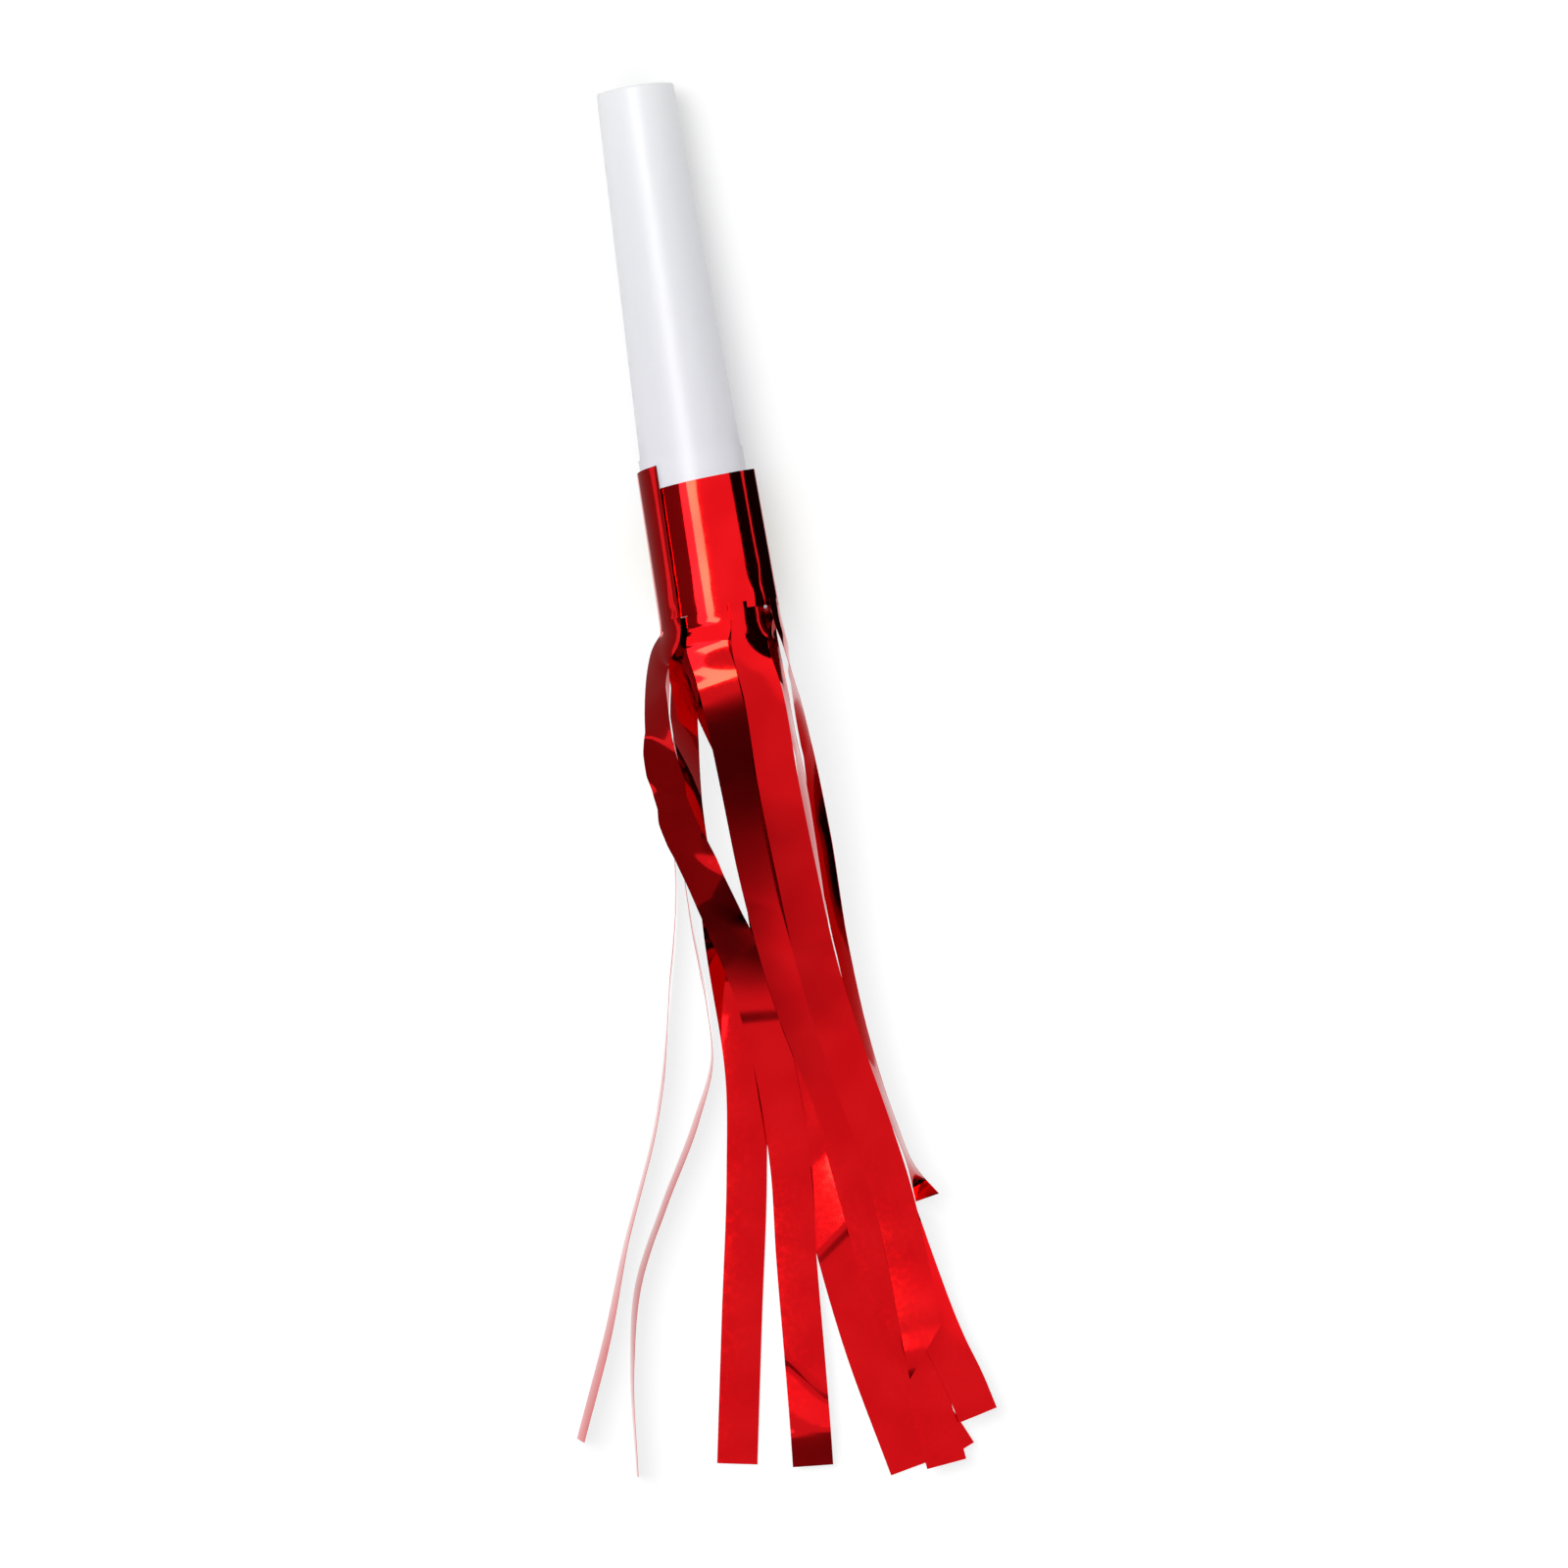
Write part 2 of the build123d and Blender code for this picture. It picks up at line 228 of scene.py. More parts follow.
def moulded_polystyrene():
    """Moulded high-impact polystyrene: opaque white, a little cloudy, satin."""
    material, tree, output = new_material("white_moulded_polystyrene")
    place = add_node(tree, "ShaderNodeTexCoord").outputs["Object"]
    cloud = add_node(tree, "ShaderNodeTexNoise", {
        "Vector": place, "Scale": per_metre(3.0), "Detail": 2.0})
    tint = add_node(tree, "ShaderNodeMix", {
        "Factor": cloud.outputs["Fac"], "A": colour("#E9E7E1"), "B": colour("#F3F2EE")},
        data_type="RGBA")
    bump = add_node(tree, "ShaderNodeBump", {
        "Height": cloud.outputs["Fac"], "Strength": 0.1, "Distance": 0.02 * MM})
    body = add_node(tree, "ShaderNodeBsdfPrincipled", {
        "Base Color": tint.outputs["Result"], "Roughness": 0.32, "IOR": 1.59,
        "Normal": bump.outputs["Normal"]})
    tree.links.new(body.outputs["BSDF"], output.inputs["Surface"])
    return material


def clear_polyester_film():
    """Clear drawn polyester film: glossy, faintly blue, with fine draw lines along it."""
    material, tree, output = new_material("clear_drawn_polyester")
    place = add_node(tree, "ShaderNodeTexCoord").outputs["Object"]
    lines = add_node(tree, "ShaderNodeTexWave", {
        "Vector": place, "Scale": per_metre(1.2), "Distortion": 2.0, "Detail": 2.0},
        bands_direction="X")
    tint = add_node(tree, "ShaderNodeMix", {
        "Factor": lines.outputs["Fac"], "A": colour("#D5DEE4"), "B": colour("#E2E9EC")},
        data_type="RGBA")
    bump = add_node(tree, "ShaderNodeBump", {
        "Height": lines.outputs["Fac"], "Strength": 0.08, "Distance": 0.02 * MM})
    film = add_node(tree, "ShaderNodeBsdfPrincipled", {
        "Base Color": tint.outputs["Result"], "Roughness": 0.12, "IOR": 1.57,
        "Alpha": 0.7, "Normal": bump.outputs["Normal"]})
    tree.links.new(film.outputs["BSDF"], output.inputs["Surface"])
    return material


def tissue_tape():
    """Double-sided tissue tape: cream adhesive over a fibrous carrier, with a tacky gloss."""
    material, tree, output = new_material("cream_tissue_tape")
    place = add_node(tree, "ShaderNodeTexCoord").outputs["Object"]
    fibre = add_node(tree, "ShaderNodeTexNoise", {
        "Vector": place, "Scale": per_metre(0.5), "Detail": 4.0, "Distortion": 1.5})
    tint = add_node(tree, "ShaderNodeMix", {
        "Factor": fibre.outputs["Fac"], "A": colour("#DDD3B6"), "B": colour("#EFE9D6")},
        data_type="RGBA")
    bump = add_node(tree, "ShaderNodeBump", {
        "Height": fibre.outputs["Fac"], "Strength": 0.3, "Distance": 0.03 * MM})
    glue = add_node(tree, "ShaderNodeBsdfPrincipled", {
        "Base Color": tint.outputs["Result"], "Roughness": 0.45, "IOR": 1.48,
        "Normal": bump.outputs["Normal"]})
    tree.links.new(glue.outputs["BSDF"], output.inputs["Surface"])
    return material


def seen_directly(tree):
    """1 where the camera, a mirror or clear film looks, and 0 for the light on matt surfaces."""
    rays = add_node(tree, "ShaderNodeLightPath")
    seen = add_node(tree, "ShaderNodeMath", {
        0: rays.outputs["Is Camera Ray"], 1: rays.outputs["Is Glossy Ray"]}, operation="MAXIMUM")
    seen = add_node(tree, "ShaderNodeMath", {
        0: seen.outputs["Value"], 1: rays.outputs["Is Transmission Ray"]}, operation="MAXIMUM")
    return seen.outputs["Value"]


def white_paper_sweep():
    """The matt white ground. The camera and mirrors see it white, and it keeps its shadows."""
    material, tree, output = new_material("white_paper_sweep")
    seen = seen_directly(tree)
    tint = add_node(tree, "ShaderNodeMix", {
        "Factor": seen, "A": colour("#DDDDDD"), "B": colour("#FFFFFF")}, data_type="RGBA")
    paper = add_node(tree, "ShaderNodeBsdfDiffuse", {"Color": tint.outputs["Result"]})
    whiter = add_node(tree, "ShaderNodeMath", {0: seen, 1: GROUND_WHITENING},
                      operation="MULTIPLY")
    lift = add_node(tree, "ShaderNodeEmission", {"Strength": whiter.outputs["Value"]})
    both = add_node(tree, "ShaderNodeAddShader", {0: paper.outputs["BSDF"], 1: lift.outputs[0]})
    tree.links.new(both.outputs["Shader"], output.inputs["Surface"])
    return material


RED_FILM = red_metallised_polyester()
FINISHES = {
    "horn_tube": milky_polyethylene(),
    "reed_plug": moulded_polystyrene(),
    "reed_wedge": moulded_polystyrene(),
    "reed_tongue": clear_polyester_film(),
    "adhesive_tape": tissue_tape(),
}
for node_name, finish in FINISHES.items():
    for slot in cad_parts[node_name].material_slots:
        slot.material = finish


def from_horn(x, y, z):
    """A point beside the horn's axis, x across, y up from the rim and z over it, as it lies."""
    tilt = math.radians(LIE_ANGLE)
    return (RIM_CENTRE[0] + x,
            RIM_CENTRE[1] + y * math.cos(tilt) + z * math.sin(tilt),
            RIM_CENTRE[2] - y * math.sin(tilt) + z * math.cos(tilt))


def sheet_radius(wound):
    """The film's middle radius at an angle along the winding, from the outer lap's end."""
    return OUTER_RADIUS - WRAP_PITCH * wound / 360


def stand_off(angle, y):
    """How far the film stands off the winding at its loose right side, most at the rim."""
    turned = (angle - LOOSE_SIDE_ANGLE + 180) % 360 - 180
    near = math.cos(math.radians(min(90.0, LOOSE_SPREAD_SHARE * abs(turned))))
    return near * near * (LOOSE_AT_RIM - (LOOSE_AT_RIM - LOOSE_ON_TUBE)
                          * min(max(y, 0), BAND_LENGTH) / BAND_LENGTH)


def film_piece(name, rows):
    """A thin closed film from rows of points in millimetres. Diffuse light doesn't meet it, so it
    tints nothing around it red. It still casts shadows, and gloss still mirrors it."""
    rows = np.array(rows, float) * MM
    down, across = rows.shape[:2]
    faces = [(r * across + c, r * across + c + 1, (r + 1) * across + c + 1, (r + 1) * across + c)
             for r in range(down - 1) for c in range(across - 1)]
    mesh = bpy.data.meshes.new(name)
    mesh.from_pydata([tuple(p) for p in rows.reshape(-1, 3)], [], faces)
    mesh.materials.append(RED_FILM)
    piece = bpy.data.objects.new(name, mesh)
    bpy.context.scene.collection.objects.link(piece)
    film = piece.modifiers.new("film", "SOLIDIFY")
    film.thickness = FILM_THICKNESS * MM
    film.offset = 0.0
    bpy.context.view_layer.objects.active = piece
    piece.select_set(True)
    bpy.ops.object.modifier_apply(modifier=film.name)
    piece.select_set(False)
    piece.data.polygons.foreach_set("use_smooth", [True] * len(piece.data.polygons))
    piece.data.set_sharp_from_angle(angle=math.radians(CUT_EDGE_ANGLE))
    piece.visible_diffuse = False
    return piece


def wound_header():
    """The uncut header, wound one and a fifth turns and a little askew."""
    rng = np.random.default_rng(CRINKLE_SEED)
    crinkles = [(rng.uniform(0, SHEET_TURN), rng.uniform(*CRINKLE_REACHES),
                 rng.uniform(*CRINKLE_LEANS), rng.uniform(*CRINKLE_HEIGHTS))
                for _ in range(CRINKLE_COUNT)]
    rows = []
    for i in range(HEADER_STEPS_ROUND + 1):
        wound = SHEET_TURN * i / HEADER_STEPS_ROUND
        length = BAND_LENGTH - WRAP_SKEW * wound / 360
        row = []
        for j in range(HEADER_STEPS_ALONG + 1):
            y = length * j / HEADER_STEPS_ALONG
            radius = sheet_radius(wound)
            for at, reach, lean, height in crinkles:
                off = (wound - at - lean * y) / CRINKLE_TURN
                radius += height * math.exp(-off * off) * math.exp(-(y / reach) ** 2)
            lap = max(0.0, 1 - wound / LAP_LIFT_TURN)
            radius += LAP_LIFT * lap * lap + stand_off(LAP_ANGLE + wound, y)
            angle = math.radians(LAP_ANGLE + wound)
            row.append(from_horn(radius * math.cos(angle), y, radius * math.sin(angle)))
        rows.append(row)
    return film_piece("wound_foil_header", rows)


# Routes of the strips, from the outer lap inwards: shares of the fringe's reach, spread and
# height, and the strip's turn in degrees.
ROUTES = {
    "01_crossing_left": [
        (0.04, -0.262, 0.675, 62), (0.10, -0.302, 0.690, 50), (0.18, -0.308, 0.665, 38),
        (0.25, -0.262, 0.610, 24), (0.30, -0.205, 0.545, 15), (0.36, -0.142, 0.400, 6),
        (0.42, -0.086, 0.275, 0), (0.47, -0.058, 0.215, 0), (0.52, -0.040, 0.175, 0),
        (0.57, -0.034, 0.150, 0), (0.64, -0.038, 0.140, 0), (0.74, -0.070, 0.148, 0),
        (0.86, -0.100, 0.163, 0), (0.94, -0.121, 0.172, 0), (0.98, -0.133, 0.160, 0)],
    "02_left_outer_edge": [
        (0.05, -0.245, 0.320, 104), (0.12, -0.275, 0.235, 96), (0.20, -0.312, 0.202, 92),
        (0.30, -0.338, 0.200, 90), (0.42, -0.430, 0.200, 89), (0.56, -0.565, 0.200, 86),
        (0.70, -0.775, 0.200, 81), (0.79, -0.895, 0.200, 79), (0.91, -1.083, 0.200, 78)],
    "03_left_inner_edge": [
        (0.04, -0.140, 0.135, 142), (0.10, -0.195, 0.175, 122), (0.16, -0.245, 0.195, 102),
        (0.24, -0.288, 0.200, 93), (0.34, -0.296, 0.200, 91), (0.44, -0.282, 0.200, 90),
        (0.50, -0.298, 0.200, 88), (0.57, -0.405, 0.200, 82), (0.66, -0.590, 0.200, 79),
        (0.75, -0.752, 0.200, 80), (0.84, -0.825, 0.200, 85), (0.96, -0.870, 0.200, 87)],
    "04_floor_right": [
        (0.05, 0.050, 0.048, -173), (0.13, 0.043, 0.026, -179), (0.25, 0.034, 0.024, -180),
        (0.40, 0.030, 0.024, -180), (0.55, 0.042, 0.024, -180), (0.70, 0.085, 0.024, -180),
        (0.85, 0.155, 0.024, -180), (1.0, 0.268, 0.024, -180)],
    "05_right_long": [
        (0.045, 0.218, 0.370, -112), (0.08, 0.234, 0.410, -102), (0.12, 0.243, 0.405, -98),
        (0.20, 0.256, 0.345, -101), (0.30, 0.259, 0.255, -101), (0.42, 0.268, 0.205, -98),
        (0.52, 0.305, 0.200, -95), (0.62, 0.372, 0.200, -86), (0.67, 0.385, 0.202, -64),
        (0.73, 0.398, 0.208, -24), (0.79, 0.434, 0.214, -8), (0.865, 0.496, 0.222, 0),
        (0.91, 0.548, 0.222, 0), (0.95, 0.584, 0.220, 0)],
    "06_right_short": [
        (0.05, 0.276, 0.615, -86), (0.14, 0.292, 0.550, -104), (0.26, 0.308, 0.430, -111),
        (0.40, 0.316, 0.340, -111), (0.50, 0.350, 0.295, -105), (0.60, 0.418, 0.265, -98),
        (0.66, 0.470, 0.250, -103), (0.695, 0.512, 0.235, -130)],
    "07_broad_top": [
        (0.04, 0.128, 0.955, -28), (0.10, 0.150, 0.945, -16), (0.20, 0.156, 0.87, -8),
        (0.30, 0.174, 0.74, -5), (0.42, 0.205, 0.585, -3), (0.52, 0.262, 0.47, -2),
        (0.60, 0.318, 0.42, 0), (0.68, 0.366, 0.40, 0), (0.76, 0.389, 0.41, 0),
        (0.84, 0.400, 0.435, 0), (0.88, 0.405, 0.44, 0), (0.895, 0.408, 0.41, 0)],
    "08_front_loop": [
        (0.03, -0.050, 1.046, 6), (0.066, -0.034, 1.052, 3), (0.078, -0.030, 1.062, 2),
        (0.10, -0.023, 1.045, 0), (0.12, -0.017, 1.005, -2), (0.15, -0.010, 0.925, -4),
        (0.20, 0.000, 0.78, -6), (0.30, 0.018, 0.56, -4), (0.45, 0.085, 0.37, 4),
        (0.60, 0.206, 0.235, 3), (0.75, 0.303, 0.19, 0), (0.90, 0.382, 0.19, 0),
        (1.0, 0.423, 0.195, 0)],
    "09_floor_left": [
        (0.05, -0.165, 0.800, 44), (0.11, -0.192, 0.660, 52), (0.20, -0.205, 0.455, 66),
        (0.30, -0.200, 0.275, 66), (0.42, -0.168, 0.085, 14), (0.52, -0.165, 0.040, 0),
        (0.64, -0.225, 0.026, 0), (0.80, -0.335, 0.024, 0), (0.965, -0.447, 0.024, 0)],
    "10_under_right": [
        (0.045, -0.180, 0.460, 84), (0.08, -0.127, 0.413, 62), (0.12, -0.063, 0.360, 36),
        (0.17, 0.007, 0.307, 16), (0.24, 0.073, 0.260, 4), (0.34, 0.118, 0.200, 0),
        (0.46, 0.145, 0.153, 0), (0.58, 0.186, 0.117, 0), (0.72, 0.245, 0.107, 0),
        (0.84, 0.300, 0.107, 0), (0.92, 0.364, 0.107, 0), (0.99, 0.472, 0.107, 0)],
}

# Creases of the strips: place along in mm, how far the crease leans across the width in mm,
# the film's height there in mm, and its roll in degrees. The film runs straight between them.
CREASES = {
    "04_floor_right": [
        (0, 0, 0, 0), (20, 2.0, 0.1, 0), (44, -2.0, 0.0, 0), (67, 1.5, 0.0, 0),
        (70.5, 1.5, 0.1, 0), (80.5, 1.5, -0.45, 0), (82, 1.5, -0.1, 0), (88, 1.5, 0.0, 0),
        (114, 0, 0, 0)],
    "08_front_loop": [
        (0, 0, 0, 0), (2.4, 0.3, 0.0, 0), (3.0, 0.3, 0.06, 0), (4.2, 0.3, 0.0, 0),
        (13, 0.5, 0.0, -1), (22, -2.0, -0.08, 3), (40, 2.0, 0.1, 0), (70, 0, -0.05, 2),
        (96, -3.0, 0.08, -2), (104, 0, -0.05, 1), (112, 0, 0, 0)],
    "07_broad_top": [
        (0, 0, 0, 0), (2.2, -2.6, 0.10, 2), (4.4, 1.5, -0.05, -3), (9, 0, 0.06, -2),
        (20, 1.0, 0.0, 2), (44, 0, 0.05, 1), (62, -1.0, 0.0, -1), (80, 1.0, 0.04, 1),
        (90, 0, 0.0, 0), (98.4, 0, 0.0, 0), (99.8, 0, 0.16, 0), (101, 0, 0.16, 0)],
    "01_crossing_left": [
        (0, 0, 0, 0), (3, -1.0, 0.1, 3), (6, 1.0, -0.05, -3), (11, -1.4, 0.15, 4),
        (16, 1.2, 0.0, 3), (19, 1.2, 0.12, -9), (21.5, 0.8, 0.0, -11), (23, 0.8, 0.10, 3),
        (26, 1.6, -0.05, 4), (28, 1.6, 0.12, -9), (31, 2.0, 0.0, -8), (33, 2.0, 0.08, 4),
        (38, 2.8, 0.1, 4), (41, 2.8, -0.05, -3), (46, -1.0, 0.0, 1), (53.6, 0.5, 0.10, 0),
        (55, 0.5, -0.05, 0), (57, 0.5, 0.03, 0), (62, 0, 0.0, 0), (84, 1.0, 0.0, 0),
        (100, 2.9, 0.10, 0), (101.4, 2.9, -0.22, 0), (106.5, 1.5, 0.10, 0), (107.5, 0, 0.0, 0),
        (114, 0, -1.3, 0)],
    "09_floor_left": [
        (0, 0, 0, 0), (4, 2.0, 0.15, -4), (9, -2.0, -0.1, 4), (15, 2.0, 0.1, -3),
        (26, -2.0, 0.0, 3), (40, 2.0, 0.1, -2), (56, 0, 0.0, 0), (80, 1.0, 0.02, 1),
        (112, 0, 0, 0)],
}
# The creases of the strips that show least
PLAIN_CREASES = [
    (0, 0, 0, 0), (5, 2.2, 0.12, 3), (11, -2.4, -0.08, -4), (19, 2.0, 0.14, 3),
    (30, -1.5, -0.05, -3), (44, 2.5, 0.10, 2), (60, -2.0, -0.04, -2), (78, 2.0, 0.06, 2),
    (96, -2.0, 0.02, -1), (114, 0, 0, 0)]
# How much shorter a strip's right edge is where its end is folded askew, in mm
END_SLANTS = {"07_broad_top": 6.0}


def strip_places(index, rows):
    """The strip's middle line: (x, y, z, turn, crown) in mm, from under the header's edge."""
    wound = STRIP_TURN * (index + 0.5)
    angle = LAP_ANGLE + wound
    radius = (sheet_radius(wound) - ROOT_UNDER_HEADER - LAYER_GAP * (wound // 360)
              + stand_off(angle, 0))
    x, z = radius * math.cos(math.radians(angle)), radius * math.sin(math.radians(angle))
    crown = sheet_radius(wound) - math.sqrt(sheet_radius(wound) ** 2 - (STRIP_WIDTH / 2) ** 2)
    turn = angle - 90
    turn += 360 * round((rows[0][3] - turn) / 360)
    tucked, rim, beyond = (from_horn(x, y, z) for y in ROOT_PLACES)
    places = [(*tucked, turn, crown), (*rim, turn, crown),
              (*beyond, turn, crown * ROOT_CROWN_EASING)]
    for row, (along, side, height, twist) in enumerate(rows):
        eased = crown * CROWN_EASING[row] if row < len(CROWN_EASING) else 0.0
        places.append((RIM_CENTRE[0] + side * FRINGE_SPREAD,
                       RIM_CENTRE[1] - along * FRINGE_REACH,
                       height * BUNDLE_HEIGHT, twist, max(LEAST_CROWN, eased)))
    return np.array(places)


def smooth_line(places, step):
    """Points every so often along a smooth curve through all the places."""
    runs = np.linalg.norm(np.diff(places[:, :3], axis=0), axis=1)
    reached = np.concatenate([[0], np.cumsum(runs)])
    gaps = np.diff(reached)[:, None]
    rates = np.diff(places, axis=0) / gaps
    slopes = np.vstack([rates[:1],
                        (rates[:-1] * gaps[1:] + rates[1:] * gaps[:-1]) / (gaps[:-1] + gaps[1:]),
                        rates[-1:]])
    at = np.linspace(0, reached[-1], round(reached[-1] / step) + 1)
    row = np.clip(np.searchsorted(reached, at, side="right") - 1, 0, len(gaps) - 1)
    gap, t = gaps[row], ((at - reached[row]) / gaps[row, 0])[:, None]
    line = (places[row] * (2 * t ** 3 - 3 * t ** 2 + 1)
            + slopes[row] * gap * (t ** 3 - 2 * t ** 2 + t)
            + places[row + 1] * (3 * t ** 2 - 2 * t ** 3)
            + slopes[row + 1] * gap * (t ** 3 - t ** 2))
    return at, line


def fringe_strip(index, name, rows):
    """A long film strip along its route, creased and slightly crowned."""
    at, line = smooth_line(strip_places(index, rows), STRIP_STEP)
    creases = np.array(CREASES.get(name, PLAIN_CREASES), float)
    ahead = np.gradient(line[:, :3], axis=0)
    ahead /= np.linalg.norm(ahead, axis=1)[:, None]
    turn = np.radians(line[:, 3])
    level = np.stack([np.cos(turn), np.zeros_like(turn), np.sin(turn)], axis=1)
    wide = level - ahead * (level * ahead).sum(1)[:, None]
    wide /= np.linalg.norm(wide, axis=1)[:, None]
    outward = np.cross(ahead, wide)
    loose = stand_off(LAP_ANGLE + STRIP_TURN * (index + 0.5), 0) / OUTER_RADIUS
    spread = 1 + (CUT_CLOSING + loose) * np.exp(-(at / ROOT_SPREAD_REACH) ** 2)
    lean = np.interp(at, creases[:, 0], creases[:, 1])
    settle = np.clip((at - CREASES_START) / CREASES_GROW_OVER, 0, 1)
    crown = line[:, 4]
    # The chord of a shallow arc that is as long as the strip is wide
    half = spread * np.sqrt(STRIP_WIDTH ** 2 - 16 / 3 * crown ** 2) / 2
    rows_of_points = []
    for q in np.linspace(-1, 1, STRIP_POINTS_ACROSS):
        here = at - lean * q
        height = np.interp(here, creases[:, 0], creases[:, 2])
        roll = np.radians(np.interp(here, creases[:, 0], creases[:, 3]))
        lift = settle * (height + np.tan(roll) * q * half) - crown * q * q
        edge = line[:, :3] + wide * (q * half)[:, None] + outward * lift[:, None]
        cut = at * (1 - END_SLANTS.get(name, 0.0) * (q + 1) / 2 / at[-1])
        rows_of_points.append(np.stack([np.interp(cut, at, edge[:, k]) for k in range(3)], axis=1))
    rows_of_points = np.array(rows_of_points)
    # The film lies on the ground and not in it
    rows_of_points[:, :, 2] = np.maximum(rows_of_points[:, :, 2], FILM_THICKNESS)
    return film_piece("fringe_" + name, rows_of_points)


header = wound_header()
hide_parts("foil_band")
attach(header, "horn")

strips = []
for index, (name, rows) in enumerate(ROUTES.items()):
    strip = fringe_strip(index, name, rows)
    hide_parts("fringe_strip_" + name)
    # The strip's places in metres, which nothing below reads
    places = strip_places(index, rows) * MM
    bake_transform(strip)
    strips.append(strip)

# What reflections show overhead, from the fringe's side to the mouth's: place, and share of the
# brightest sky. The room light is what falls on matt surfaces.
SKY_LEVELS = [(0.21, 0.07), (0.29, 0.28), (0.35, 0.58), (0.5, 0.61), (0.53, 0.82), (0.7, 0.95)]
BRIGHTEST_SKY = 1.6
ROOM_LIGHT = 0.68

# The studio in metres: the ground, the cards round the set, the point that the lamps face, and
# the camera with its roll in degrees and its lens and sensor in millimetres
GROUND_SIZE = 6.0
CARD_DISTANCE = 0.42
CARD_FOOT = 0.012
CARD_FACES = 24
TABLE_CARD_HEIGHT = 0.0006
LAMPS_AIM = (0.012, 0.0, 0.0)
CAMERA_PLACE = (0.0118, -0.0006, 1.5)
CAMERA_ROLL = -8.68
CAMERA_LENS = 273.0
SENSOR_WIDTH = 36.0


def stage_plane(name, size, centre, material):
    """A flat stage piece."""
    mesh = bpy.data.meshes.new(name)
    half = size / 2
    mesh.from_pydata([(-half, -half, 0), (half, -half, 0), (half, half, 0), (-half, half, 0)],
                     [], [(0, 1, 2, 3)])
    mesh.materials.append(material)
    plane = bpy.data.objects.new(name, mesh)
    plane.location = centre
    bpy.context.scene.collection.objects.link(plane)


def felt(name, code):
    """Matt felt on a card beside the set: a plain dark or grey area in reflections."""
    material, tree, output = new_material(name)
    cloth = add_node(tree, "ShaderNodeBsdfDiffuse", {"Color": colour(code)})
    tree.links.new(cloth.outputs["BSDF"], output.inputs["Surface"])
    return material


def mirror_card(name, points, faces, material):
    """A card that shows in reflections only, and throws no shadow."""
    mesh = bpy.data.meshes.new(name)
    mesh.from_pydata(points, [], faces)
    mesh.materials.append(material)
    card = bpy.data.objects.new(name, mesh)
    bpy.context.scene.collection.objects.link(card)
    card.visible_camera = False
    card.visible_diffuse = False
    card.visible_shadow = False


def card_arc(name, material, first, last, top):
    """An upright card, bent round the set. Its angles count from the right side, by way of the
    mouth's end."""
    points, faces = [], []
    for i in range(CARD_FACES + 1):
        angle = math.radians(first + (last - first) * i / CARD_FACES)
        for height in (CARD_FOOT, top):
            points.append((CARD_DISTANCE * math.cos(angle), CARD_DISTANCE * math.sin(angle),
                           height))
        if i < CARD_FACES:
            faces.append((2 * i, 2 * i + 2, 2 * i + 3, 2 * i + 1))
    mirror_card(name, points, faces, material)


def table_card(name, corners, material):
    """A card that lies on the ground beside the strips."""
    mirror_card(name, [(x, y, TABLE_CARD_HEIGHT) for x, y in corners], [(0, 1, 2, 3)], material)


def softbox(name, power, size, place):
    """A flat soft lamp that faces the horn."""
    light = bpy.data.lights.new(name, "AREA")
    light.shape = "RECTANGLE"
    light.size, light.size_y = size
    light.energy = power
    lamp = bpy.data.objects.new(name, light)
    lamp.location = place
    aim = Vector(LAMPS_AIM) - Vector(place)
    lamp.rotation_euler = aim.to_track_quat("-Z", "Y").to_euler()
    lamp.visible_camera = False
    bpy.context.scene.collection.objects.link(lamp)
    return lamp


def link_to_film(lamp, linked):
    """Lets a lamp reach the film alone, or everything but the film, and give only a glint there,
    no plain light."""
    lamp.visible_diffuse = False
    mirror_film = bpy.data.collections.new(lamp.name + "_film")
    for piece in [header] + strips:
        mirror_film.objects.link(piece)
    for entry in mirror_film.collection_objects:
        entry.light_linking.link_state = linked
    lamp.light_linking.receiver_collection = mirror_film


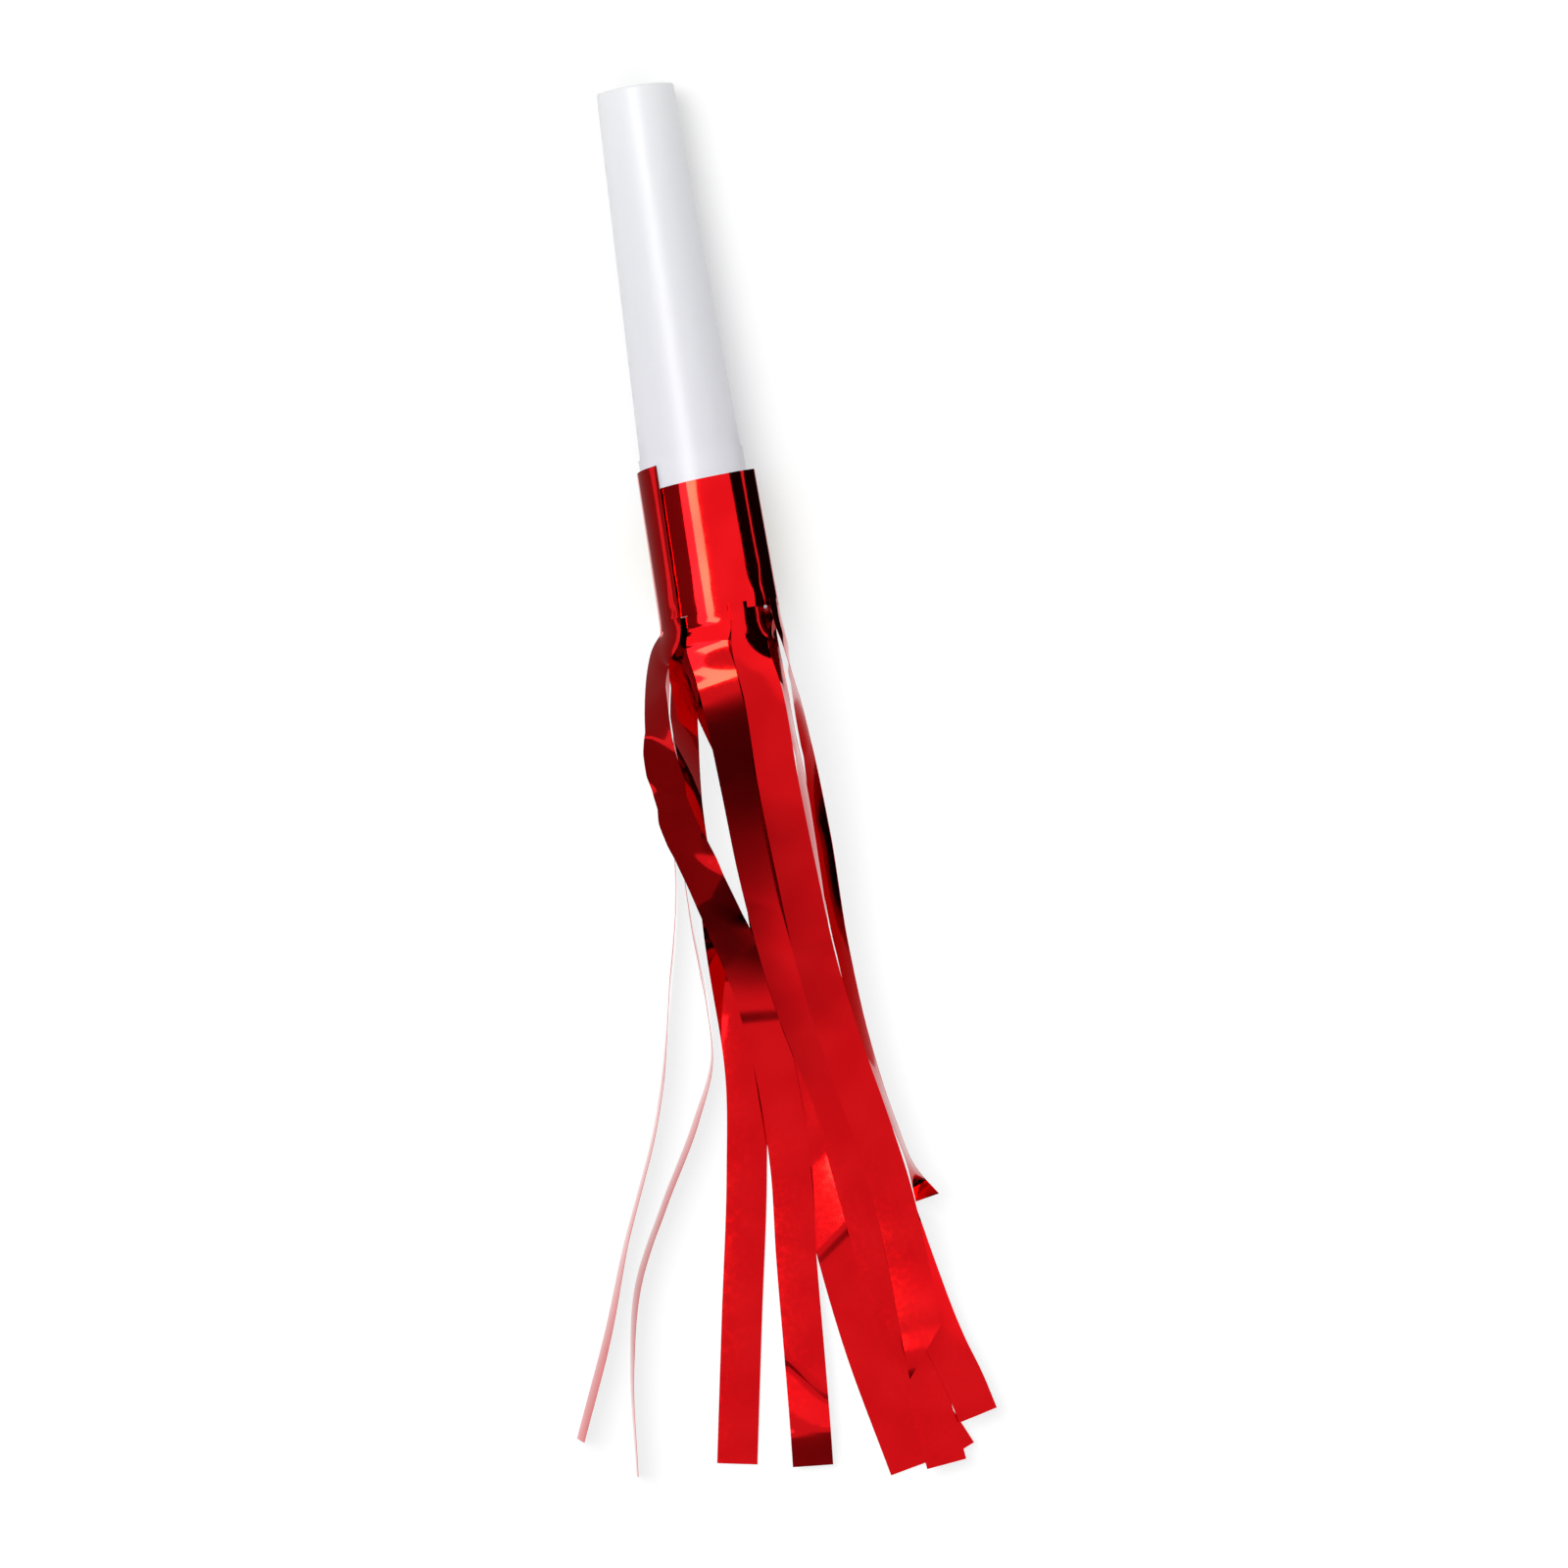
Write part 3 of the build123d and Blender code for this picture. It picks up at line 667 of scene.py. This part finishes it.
def studio_sky():
    """The world: even light on matt surfaces, and in reflections a sky that is dim at the
    fringe's end."""
    world = bpy.data.worlds.new("studio")
    bpy.context.scene.world = world
    world.use_nodes = True
    tree = world.node_tree
    tree.nodes.clear()
    toward = add_node(tree, "ShaderNodeSeparateXYZ", {
        "Vector": add_node(tree, "ShaderNodeTexCoord").outputs["Generated"]}).outputs["Y"]
    share = add_node(tree, "ShaderNodeMapRange", {
        "Value": toward, "From Min": -1.0, "From Max": 1.0, "To Min": 0.0, "To Max": 1.0})
    sky = add_node(tree, "ShaderNodeValToRGB", {"Fac": share.outputs["Result"]})
    for place, level in SKY_LEVELS:
        stop = sky.color_ramp.elements.new(place)
        stop.color = (level, level, level, 1.0)
    mirrored = add_node(tree, "ShaderNodeMath", {0: sky.outputs["Color"], 1: BRIGHTEST_SKY},
                        operation="MULTIPLY")
    strength = add_node(tree, "ShaderNodeMix", {
        "Factor": seen_directly(tree), "A": ROOM_LIGHT, "B": mirrored.outputs["Value"]})
    air = add_node(tree, "ShaderNodeBackground", {
        "Color": colour("#FFFFFF"), "Strength": strength.outputs["Result"]})
    add_node(tree, "ShaderNodeOutputWorld", {"Surface": air.outputs["Background"]})


def photo_camera():
    """The camera looks straight down, rolled so that the mouth leans a little to the left."""
    lens = bpy.data.cameras.new("camera")
    lens.lens = CAMERA_LENS
    lens.sensor_width = SENSOR_WIDTH
    camera = bpy.data.objects.new("camera", lens)
    camera.location = CAMERA_PLACE
    camera.rotation_euler = (0.0, 0.0, math.radians(CAMERA_ROLL))
    bpy.context.scene.collection.objects.link(camera)
    bpy.context.scene.camera = camera


stage_plane("white_ground", GROUND_SIZE, (0.0, 0.0, 0.0), white_paper_sweep())
BLACK_FELT, GREY_FELT = felt("black_felt", "#140608"), felt("grey_felt", "#9C9492")
card_arc("card_right", BLACK_FELT, first=-60, last=60, top=0.22)
card_arc("card_mouth_end", BLACK_FELT, first=60, last=125, top=0.12)
card_arc("card_fringe_end", BLACK_FELT, first=235, last=300, top=0.15)
card_arc("card_left", GREY_FELT, first=125, last=235, top=0.6)
table_card("table_card_right",
           [(0.0168, 0.045), (0.12, 0.045), (0.12, -0.09), (0.030, -0.09)], BLACK_FELT)
table_card("table_card_left",
           [(-0.0038, 0.045), (-0.0105, -0.02), (-0.10, -0.02), (-0.10, 0.045)], GREY_FELT)
softbox("key_soft", power=4.3, size=(0.7, 0.7), place=(-0.35, 0.30, 1.0))
film_glint = softbox("film_glint", power=14.0, size=(0.39, 0.24), place=(-0.115, 0.20, 1.0))
film_glint.data.color = colour("#FFE890")[:3]
link_to_film(film_glint, "INCLUDE")
tube_glint = softbox("tube_glint", power=9.0, size=(0.30, 0.24), place=(-0.115, 0.20, 1.0))
link_to_film(tube_glint, "EXCLUDE")
studio_sky()
photo_camera()
bpy.context.scene.view_settings.view_transform = "Standard"
